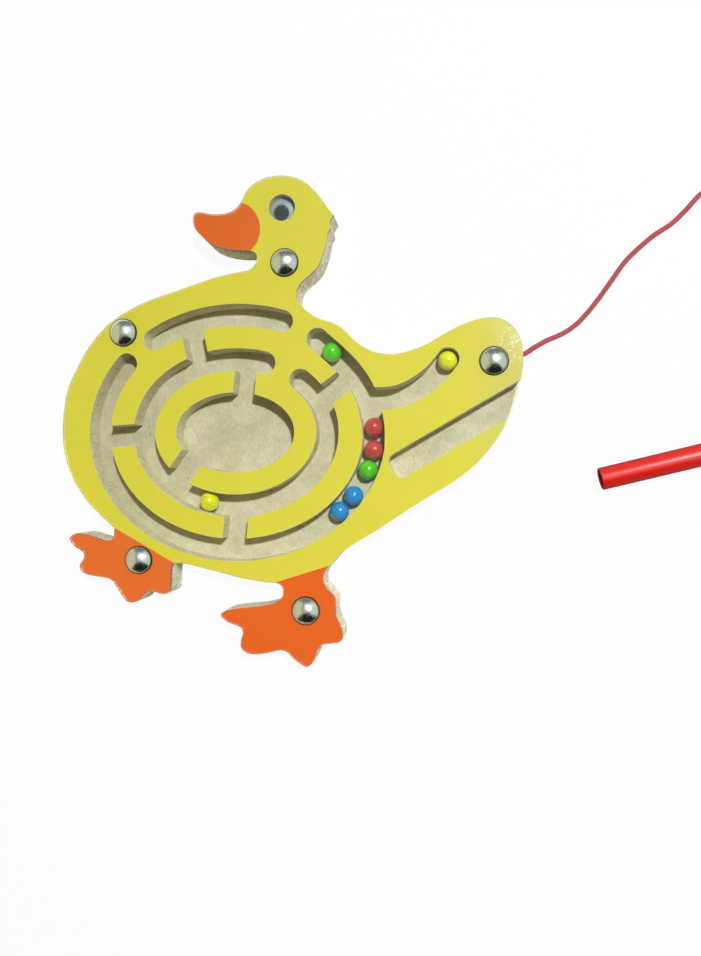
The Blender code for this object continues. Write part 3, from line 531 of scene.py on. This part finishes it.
def gloss_enamel(name, screen, deep):
    """Enamel dipped on a steel ball: wet-looking, a touch deeper where it ran thick, and slightly
    uneven over 2 mm or so."""
    made, shader = finish(
        name, Roughness=0.35, Specular_IOR_Level=0.2,
        Coat_Weight=0.8, Coat_Roughness=0.04, Coat_IOR=1.8)
    places = add(made, "ShaderNodeTexCoord").outputs["Object"]
    runs = add(made, "ShaderNodeTexNoise", None, {
        "Vector": places, "Scale": 1 / (2.4 * MM), "Detail": 3.0})
    spread = add(made, "ShaderNodeMapRange", None, {
        "Value": runs.outputs["Fac"], "From Min": 0.35, "From Max": 0.65})
    tone = add(made, "ShaderNodeMix", COLOURS, {
        SHARE: spread.outputs["Result"], FIRST: colour(deep), SECOND: colour(screen)})
    link(made, tone.outputs[MIXED], shader.inputs["Base Color"])
    peel = add(made, "ShaderNodeBump", None, {
        "Strength": 0.12, "Distance": 0.05 * MM, "Height": runs.outputs["Fac"]})
    link(made, peel.outputs["Normal"], shader.inputs["Normal"])
    return made


def moulded_plastic(name, screen, deep, roughness, grit, gloss=0.0):
    """Moulded or extruded plastic: even colour, soft gloss, and fine marks of the tool, grit mm
    across."""
    made, shader = finish(
        name, Roughness=roughness, Coat_Weight=gloss, Coat_Roughness=0.20, Coat_IOR=2.0)
    places = add(made, "ShaderNodeTexCoord").outputs["Object"]
    marks = add(made, "ShaderNodeTexNoise", None, {
        "Vector": places, "Scale": 1 / (grit * MM), "Detail": 3.0})
    tone = add(made, "ShaderNodeMix", COLOURS, {
        SHARE: marks.outputs["Fac"], FIRST: colour(deep), SECOND: colour(screen)})
    link(made, tone.outputs[MIXED], shader.inputs["Base Color"])
    relief = add(made, "ShaderNodeBump", None, {
        "Strength": 0.08, "Distance": 0.04 * MM, "Height": marks.outputs["Fac"]})
    link(made, relief.outputs["Normal"], shader.inputs["Normal"])
    return made


def braided_polyester():
    """Braided polyester cord: dusty red yarn 0.5 mm thick with a slight sheen."""
    made, shader = finish(
        "braided_polyester", Roughness=0.9, Sheen_Weight=0.1, Sheen_Roughness=0.4)
    places = add(made, "ShaderNodeTexCoord").outputs["Object"]
    yarn = add(made, "ShaderNodeTexNoise", None, {
        "Vector": places, "Scale": 1 / (0.5 * MM), "Detail": 3.0})
    tone = add(made, "ShaderNodeMix", COLOURS, {
        SHARE: yarn.outputs["Fac"], FIRST: colour("#9C3E48"), SECOND: colour("#CC666C")})
    link(made, tone.outputs[MIXED], shader.inputs["Base Color"])
    return made


FLAT_GRAIN, SAWN_GRAIN = (1.0, 0.45, 1.0), (1.0, 1.0, 0.18)
back_finish = fibreboard("bare_fibreboard", "#D9D3B5", "#C5BF9C", "#6B6245", FLAT_GRAIN, 0.84)
# The sides and channel walls are the back's fibreboard with its grain drawn upright, painted paler
# than the back as painted light for the light that falls on them
sawn_side_painted_lit = fibreboard(
    "sawn_fibreboard_edge_painted_lit", "#F8F3E0", "#DED8BC", "#7A7052", SAWN_GRAIN, felt=0.58)
milled_wall_painted_lit = fibreboard(
    "milled_fibreboard_wall_painted_lit", "#ECE5C4", "#DBD4AE", "#8A7F5A", SAWN_GRAIN, felt=0.3)
print_finish = printed_paper()
cover_finish = clear_plastic("cast_acrylic", 0.02, 0.12, 0.12)
dome_finish = clear_plastic("moulded_clear_styrene", 0.04, 0.10, 0.05, 0.8)
chrome_finish = chrome()
pin_finish = drawn_steel()
eye_back_finish = moulded_plastic("pale_grey_card", "#A6B2BC", "#94A2AC", 0.5, 1.0)
pupil_finish = moulded_plastic("dark_pupil_plastic", "#36443F", "#1E2925", 0.6, 0.5)
wand_finish = moulded_plastic("extruded_red_styrene", "#EC1E1A", "#E41816", 0.4, 3.0, 0.9)
magnet_finish = moulded_plastic("sintered_ferrite", "#3A3634", "#2C2927", 0.6, 0.4)
cord.data.materials.append(braided_polyester())
enamels = {
    "green": gloss_enamel("green_enamel", "#5ADE04", "#48C400"),
    "red": gloss_enamel("red_enamel", "#DA4640", "#BE3832"),
    "blue": gloss_enamel("blue_enamel", "#1C9CE8", "#1688CE"),
    "yellow": gloss_enamel("yellow_enamel", "#FAFC00", "#E8EA00"),
}


# The flat layers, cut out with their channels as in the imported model
EDGE_EASE = 0.15 * MM
BACK_EASE = 1.0 * MM
GLUE_LINE = 0.02 * MM
WORN_CORNER, WORN_REACH, WORN_EASE = (110.0 * MM, 5.3 * MM), 6.5 * MM, 4.5 * MM


def copied(name, node):
    """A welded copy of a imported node, with its flat faces whole."""
    piece = bpy.data.objects.new(name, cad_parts[node].data.copy())
    piece.data.name = name
    bpy.context.scene.collection.objects.link(piece)
    piece.data.materials.clear()
    edit(piece)
    bpy.ops.mesh.remove_doubles(threshold=SAME)
    bpy.ops.mesh.dissolve_limited(angle_limit=math.radians(0.5))
    done()
    only(piece)
    bpy.ops.mesh.customdata_custom_splitnormals_clear()
    return piece


def keep_flat(piece):
    """Shades a layer's two flat sides flat, so that its eased rims don't bend what is seen in them."""
    smooth(piece)
    edit(piece)
    pick("faces", lambda face: abs(face.normal.z) > 0.999)
    bpy.ops.mesh.faces_shade_flat()
    done()


def ease_rim(piece, height, width, segments):
    """Rounds a flat piece's edges all round at one height."""
    edit(piece)

    def on_rim(edge):
        level = all(abs(vert.co.z - height) < LEVEL for vert in edge.verts)
        return level and len(edge.link_faces) == 2 and edge.calc_face_angle(0.0) > SHARP

    pick("edges", on_rim)
    bpy.ops.mesh.bevel(offset=width, segments=segments, affect="EDGES", clamp_overlap=True)
    done()


def wear_corner(piece):
    """Rounds off the corner of the printed sheet below the slot's mouth, worn by the wand."""
    edit(piece)

    def upright(edge, reach, sharp):
        a, b = (vert.co for vert in edge.verts)
        near = all(
            math.hypot(end.x - WORN_CORNER[0], end.y - WORN_CORNER[1]) < reach for end in (a, b))
        return near and abs(a.z - b.z) > 1.0 * MM and sharp == (edge.calc_face_angle(0.0) > SHARP)

    pick("edges", lambda edge: upright(edge, WORN_REACH, False))
    bpy.ops.mesh.dissolve_edges(use_verts=True)
    pick("edges", lambda edge: upright(edge, 1.0 * MM, True))
    bpy.ops.mesh.bevel(offset=WORN_EASE, segments=8, affect="EDGES", clamp_overlap=True)
    done()


def close_glue_line(piece):
    """Brings the sheet's underside down to the glue on the back board."""
    edit(piece)
    pick("verts", lambda vert: abs(vert.co.z - SHEET_BOTTOM) < LEVEL)
    bpy.ops.transform.translate(value=(0.0, 0.0, BOARD_TOP + GLUE_LINE - SHEET_BOTTOM))
    done()


def build_sheet():
    """The printed sheet and its loose walls: print on top, sawn outside, milled in the channels."""
    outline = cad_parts["back_board"].data
    below = BVHTree.FromPolygons(
        [vert.co for vert in outline.vertices], [tuple(face.vertices) for face in outline.polygons])
    for node in ("maze_frame", "wall_inner_left", "wall_outer_left", "wall_outer_right"):
        piece = copied(node + "_board", node)
        if node == "maze_frame":
            wear_corner(piece)
        ease_rim(piece, SHEET_TOP, EDGE_EASE, 2)
        close_glue_line(piece)
        for surface in (sawn_side_painted_lit, print_finish, milled_wall_painted_lit):
            piece.data.materials.append(surface)
        for face in piece.data.polygons:
            beside = face.center + face.normal * 0.5 * MM
            if face.normal.z > 0.95 and face.center.z > SHEET_TOP - LEVEL:
                face.material_index = 1
            elif below.ray_cast(beside, Vector((0.0, 0.0, -1.0)))[0]:
                face.material_index = 2
        keep_flat(piece)
        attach(piece, "board")
        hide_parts(node)


def build_plates():
    """The bare back, sawn at its sides, and the clear cover."""
    back = copied("back_panel", "back_board")
    ease_rim(back, 0.0, BACK_EASE, 4)
    back.data.materials.append(back_finish)
    back.data.materials.append(sawn_side_painted_lit)
    for face in back.data.polygons:
        face.material_index = abs(face.normal.z) < 0.5
    cover = copied("cover_panel", "clear_cover")
    for height in (COVER_TOP, COVER_BOTTOM):
        ease_rim(cover, height, EDGE_EASE, 2)
    cover.data.materials.append(cover_finish)
    for piece, node, slot in (
        (back, "back_board", "board_back"), (cover, "clear_cover", "clear_cover"),
    ):
        keep_flat(piece)
        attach(piece, "board")
        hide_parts(node)


# Turned pieces
def eased(corners, steps=5):
    """A profile with rounded corners. Each corner is a radius, a height and how far it is eased."""
    points = []
    for i, (radius, height, ease) in enumerate(corners):
        corner = Vector((radius, height))
        if not ease:
            points.append(corner)
            continue
        before = (Vector(corners[i - 1][:2]) - corner).normalized() * ease + corner
        after = (Vector(corners[i + 1][:2]) - corner).normalized() * ease + corner
        for step in range(steps + 1):
            t = step / steps
            points.append(before * (1 - t) ** 2 + corner * 2 * t * (1 - t) + after * t * t)
    return points


def dome_line(radius, foot, rise, steps=14):
    """The outer side of a dome, from its top down to its foot."""
    sphere = (radius ** 2 + rise ** 2) / (2 * rise)
    reach = math.asin(radius / sphere)
    middle = foot + rise - sphere
    arc = [reach * i / steps for i in range(steps + 1)]
    return [Vector((sphere * math.sin(a), middle + sphere * math.cos(a))) for a in arc]


def turned(name, profile, steps=64):
    """Turns a profile about an upright axis, as on a lathe, and closes it."""
    only()
    bpy.ops.mesh.primitive_plane_add(size=MM)
    piece = bpy.context.object
    piece.name = piece.data.name = name
    edit(piece)
    bpy.context.tool_settings.mesh_select_mode = (True, False, False)
    bpy.ops.mesh.merge(type="CENTER")
    bpy.ops.transform.translate(value=(profile[0][0], 0.0, profile[0][1]))
    for low, high in zip(profile, profile[1:]):
        step = (high[0] - low[0], 0.0, high[1] - low[1])
        bpy.ops.mesh.extrude_region_move(TRANSFORM_OT_translate={"value": step})
    bpy.ops.mesh.select_all(action="SELECT")
    bpy.ops.mesh.spin(
        steps=steps, angle=2 * math.pi, center=(0.0, 0.0, 0.0), axis=(0.0, 0.0, 1.0))
    bpy.ops.mesh.select_all(action="SELECT")
    bpy.ops.mesh.remove_doubles(threshold=SAME)
    bpy.ops.mesh.normals_make_consistent(inside=False)
    done()
    return piece


def place(piece, node, body, surface, where, turn=(0.0, 0.0, 0.0)):
    """Sets a piece where its node is, and gives it its body and surface."""
    piece.location, piece.rotation_euler = where, turn
    settle(piece)
    smooth(piece)
    piece.data.materials.append(surface)
    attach(piece, body)
    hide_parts(node)


def again(model, name):
    """A copy of a piece with its own mesh."""
    piece = bpy.data.objects.new(name, model.data.copy())
    piece.data.name = name
    bpy.context.scene.collection.objects.link(piece)
    return piece


def build_pins():
    """Five headed pins, each with a domed cap pressed on its top."""
    stem, stem_top = 2.0 * MM, 16.8 * MM
    head, head_top, head_foot = 4.0 * MM, 1.2 * MM, 0.1 * MM
    pin = turned("pin", eased([
        (0.0, stem_top, 0), (stem, stem_top, 0.4 * MM), (stem, head_top, 0),
        (head, head_top, 0.2 * MM), (head, head_foot, 0.5 * MM), (0.0, head_foot, 0)]), 48)
    cap_radius, cap_foot, dome_foot, dome_rise = 5.8 * MM, 15.3 * MM, 15.9 * MM, 3.0 * MM
    lip, hollow, ceiling = 5.2 * MM, 4.9 * MM, 15.7 * MM
    socket, socket_top = 2.3 * MM, 17.1 * MM
    dome = dome_line(cap_radius, dome_foot, dome_rise)
    skirt = eased([
        (cap_radius, dome_foot, 0), (cap_radius, cap_foot, 0.2 * MM), (lip, cap_foot, 0),
        (hollow, ceiling, 0), (socket, ceiling, 0), (socket, socket_top, 0), (0.0, socket_top, 0)])
    cap = turned("cap", dome[:-1] + skirt, 96)
    for name, spot in PINS.items():
        here = (*spot, 0.0)
        place(again(pin, "turned_pin_" + name), "pin_" + name, "board", pin_finish, here)
        cap_here = again(cap, "domed_cap_" + name)
        place(cap_here, "cap_" + name, "board", chrome_finish, here)
        # The caps sit so close to the print that they throw no shadow of their own
        cap_here.visible_shadow = False
    bpy.data.objects.remove(pin)
    bpy.data.objects.remove(cap)


def build_eye():
    """A pale disc, a loose dark pupil and a clear dome over both, in the eye's pocket."""
    eye, seat, wall, rim, rise = 5.1 * MM, 9.7 * MM, 0.4 * MM, 1.4 * MM, 1.4 * MM
    disc_top, disc_foot = 9.6 * MM, 9.0 * MM
    disc = turned("eye_disc", eased([
        (0.0, disc_top, 0), (eye, disc_top, 0.1 * MM), (eye, disc_foot, 0.1 * MM),
        (0.0, disc_foot, 0)]))
    place(disc, "eye_back", "board", eye_back_finish, (*EYE, 0.0))
    outer = dome_line(eye, seat + rim, rise)
    inner = dome_line(eye - wall, seat + rim, rise - wall)
    foot = [Vector((eye, seat)), Vector((eye - wall, seat))]
    dome = turned("eye_bubble", outer + foot + inner[::-1])
    place(dome, "eye_dome", "board", dome_finish, (*EYE, 0.0))
    bead, bead_top, bead_foot = 3.2 * MM, 10.3 * MM, 9.8 * MM
    pupil = turned("eye_bead", eased([
        (0.0, bead_top, 0), (bead, bead_top, 0.12 * MM), (bead, bead_foot, 0.12 * MM),
        (0.0, bead_foot, 0)]))
    place(pupil, "eye_pupil", "pupil", pupil_finish, (*PUPIL, 0.0))


def build_balls():
    """Balls shaped from a subdivided cube, so that their faces are even all over."""
    only()
    bpy.ops.mesh.primitive_cube_add(size=BALL_RADIUS)
    model = bpy.context.object
    edit(model)
    bpy.ops.mesh.subdivide(number_cuts=13)
    bpy.ops.transform.tosphere(value=1.0)
    done()
    reach = max(vert.co.length for vert in model.data.vertices)
    model.scale = [BALL_RADIUS / reach] * 3
    settle(model)
    for node, spot in BALLS.items():
        paint = node.split("_")[1]
        piece = again(model, node.replace("ball_", "rolling_ball_"))
        place(piece, node, node, enamels[paint], (*spot, BALL_HEIGHT))
    bpy.data.objects.remove(model)


def build_wand():
    """A red tube with a magnet behind its open tip, and a plug that the cord goes into."""
    half = WAND_LENGTH / 2
    middle = WAND_TIP + WAND_WAY * half
    turn = (0.0, math.pi / 2, WAND_ANGLE)
    bore, inside = 3.4 * MM, 3.1 * MM
    tube_end = half - 1.2 * MM
    tube = turned("wand_stem", eased([
        (bore, 0.0, 0), (bore, tube_end, 0), (WAND_RADIUS, tube_end, 0.2 * MM),
        (WAND_RADIUS, -half, 0.35 * MM), (bore, -half, 0.25 * MM), (bore, 0.0, 0)]), 64)
    place(tube, "wand_tube", "wand", wand_finish, middle, turn)
    low, high = -half + 1.6 * MM, -half + 11.6 * MM
    magnet = turned("wand_tip_magnet", eased([
        (0.0, high, 0), (inside, high, 0.3 * MM), (inside, low, 0.3 * MM), (0.0, low, 0)]), 48)
    place(magnet, "wand_magnet", "wand", magnet_finish, middle, turn)
    cord_hole, hole_rim, hole_floor = 1.3 * MM, 1.8 * MM, half - 0.1 * MM
    seat, stem_end = half - 1.1 * MM, half - 9.2 * MM
    plug = turned("wand_plug", eased([
        (0.0, hole_floor, 0), (cord_hole, hole_floor, 0.2 * MM), (hole_rim, half, 0.1 * MM),
        (WAND_RADIUS, half, 0.5 * MM), (WAND_RADIUS, seat, 0.1 * MM), (inside, seat, 0),
        (inside, stem_end, 0.5 * MM), (0.0, stem_end, 0)]), 64)
    place(plug, "wand_end_plug", "wand", wand_finish, middle, turn)


build_sheet()
build_plates()
build_pins()
build_eye()
build_balls()
build_wand()


# The floor, lamp and surroundings
def build_stage():
    """A plain pale floor, white to the camera, faint in its shadows, and dim in what the wand
    mirrors of it."""
    only()
    bpy.ops.mesh.primitive_plane_add(size=6.0)
    floor = bpy.context.object
    floor.name = "floor"
    made, shader = finish("plain_pale_floor", Roughness=0.9)
    rays = add(made, "ShaderNodeLightPath")
    places = add(made, "ShaderNodeTexCoord")
    spot = add(made, "ShaderNodeSeparateXYZ", None, {"Vector": places.outputs["Object"]})
    beside_wand = add(made, "ShaderNodeMapRange", None, {
        "Value": spot.outputs["X"], "From Min": 122 * MM, "From Max": 136 * MM})
    dim = add(made, "ShaderNodeMath", {"operation": "MULTIPLY"}, {
        0: rays.outputs["Is Glossy Ray"], 1: beside_wand.outputs["Result"]})
    tone = add(made, "ShaderNodeMix", COLOURS, {
        SHARE: dim.outputs[0], FIRST: colour("#F6F6F4"), SECOND: colour("#4A4A44")})
    link(made, tone.outputs[MIXED], shader.inputs["Base Color"])
    seen = add(made, "ShaderNodeMath", {"operation": "MULTIPLY"}, {
        0: rays.outputs["Is Camera Ray"], 1: 0.94})
    white = add(made, "ShaderNodeEmission", None, {"Color": (1.0, 1.0, 1.0, 1.0), "Strength": 1.0})
    shown = add(made, "ShaderNodeMixShader", None, {
        0: seen.outputs[0], 1: shader.outputs["BSDF"], 2: white.outputs["Emission"]})
    link(made, shown.outputs["Shader"], made.node_tree.nodes["Material Output"].inputs["Surface"])
    floor.data.materials.append(made)


def add_key():
    """A small soft lamp 1 m above the board, up and to the right. Polished pieces mirror the room in
    place of the lamp itself."""
    lamp = bpy.data.lights.new("key", "POINT")
    lamp.energy, lamp.shadow_soft_size, lamp.color = 48.5, 0.040, (0.927, 0.964, 1.0)
    holder = bpy.data.objects.new("key", lamp)
    bpy.context.scene.collection.objects.link(holder)
    holder.location = (0.335, 0.330, 1.013)
    holder.visible_glossy = holder.visible_transmission = False


def layered(world, base, layers):
    """A base colour with others laid over it, each from nothing to full as its value goes from its
    start to its stop."""
    shown = (*base, 1.0)
    for value, start, stop, shade in layers:
        share = add(world, "ShaderNodeMapRange", {"interpolation_type": "SMOOTHSTEP"}, {
            "Value": value, "From Min": start, "From Max": stop})
        shown = add(world, "ShaderNodeMix", COLOURS, {
            SHARE: share.outputs["Result"], FIRST: shown, SECOND: (*shade, 1.0)}).outputs[MIXED]
    return shown


def light_room():
    """An even, warm room, with one look in polished pieces and another under the cover."""
    world = bpy.data.worlds.new("room")
    world.use_nodes = True
    bpy.context.scene.world = world
    rays = add(world, "ShaderNodeLightPath")
    way = add(world, "ShaderNodeTexCoord").outputs["Generated"]
    parts = add(world, "ShaderNodeSeparateXYZ", None, {"Vector": way})
    x, y, z = (parts.outputs[axis] for axis in "XYZ")
    patch = add(world, "ShaderNodeVectorMath", {"operation": "DISTANCE"}, {
        0: way, 1: (0.30, 0.37, 0.88)}).outputs["Value"]
    # How far toward the feet a way points, less at both sides
    aside = add(world, "ShaderNodeMath", {"operation": "SUBTRACT"}, {0: x, 1: 0.10})
    bow = add(world, "ShaderNodeMath", {"operation": "MULTIPLY"}, {
        0: aside.outputs[0], 1: aside.outputs[0]})
    down = add(world, "ShaderNodeMath", {"operation": "MULTIPLY"}, {0: y, 1: -1.0})
    below = add(world, "ShaderNodeMath", {"operation": "MULTIPLY_ADD"}, {
        0: bow.outputs[0], 1: -0.6, 2: down.outputs[0]}).outputs[0]
    mirrored = layered(world, (0.34, 0.39, 0.36), (
        (x, -0.22, -0.34, (0.24, 0.26, 0.19)),  # Grey, and darker on the beak's side
        (x, -0.36, -0.50, (0.58, 0.58, 0.38)),  # Beige past that
        (x, 0.10, 0.55, (0.56, 0.64, 0.59)),  # Lighter grey on the tail's side
        (patch, 0.66, 0.24, (0.86, 0.96, 0.92)),  # A glow round the bright patch
        (patch, 0.26, 0.14, (6.0, 6.2, 6.0)),  # The bright patch, up and to the right
        (y, 0.62, 0.90, (0.17, 0.20, 0.18)),  # Dim past the head
        (below, 0.14, 0.44, (0.012, 0.014, 0.010)),  # Dark past the feet
        (z, 0.08, 0.0, (0.08, 0.09, 0.05)),  # A dark line at the horizon
    ))
    # Under the cover the room's grey is lost, the bright patch stands out on the balls, and the
    # cover's rims catch the pale floor
    covered = layered(world, (0.12, 0.13, 0.12), (
        (patch, 0.34, 0.22, (8.0, 7.6, 7.6)),
        (z, 0.45, 0.20, (0.95, 0.95, 0.88)),
    ))
    shown = (0.155, 0.115, 0.035, 1.0)
    for kind, look in (
        ("Is Glossy Ray", mirrored), ("Is Transmission Ray", covered),
        ("Is Camera Ray", (1.0, 1.0, 1.0, 1.0)),
    ):
        shown = add(world, "ShaderNodeMix", COLOURS, {
            SHARE: rays.outputs[kind], FIRST: shown, SECOND: look}).outputs[MIXED]
    link(world, shown, world.node_tree.nodes["Background"].inputs["Color"])


build_stage()
add_key()
light_room()
bpy.context.scene.view_settings.view_transform = "Standard"
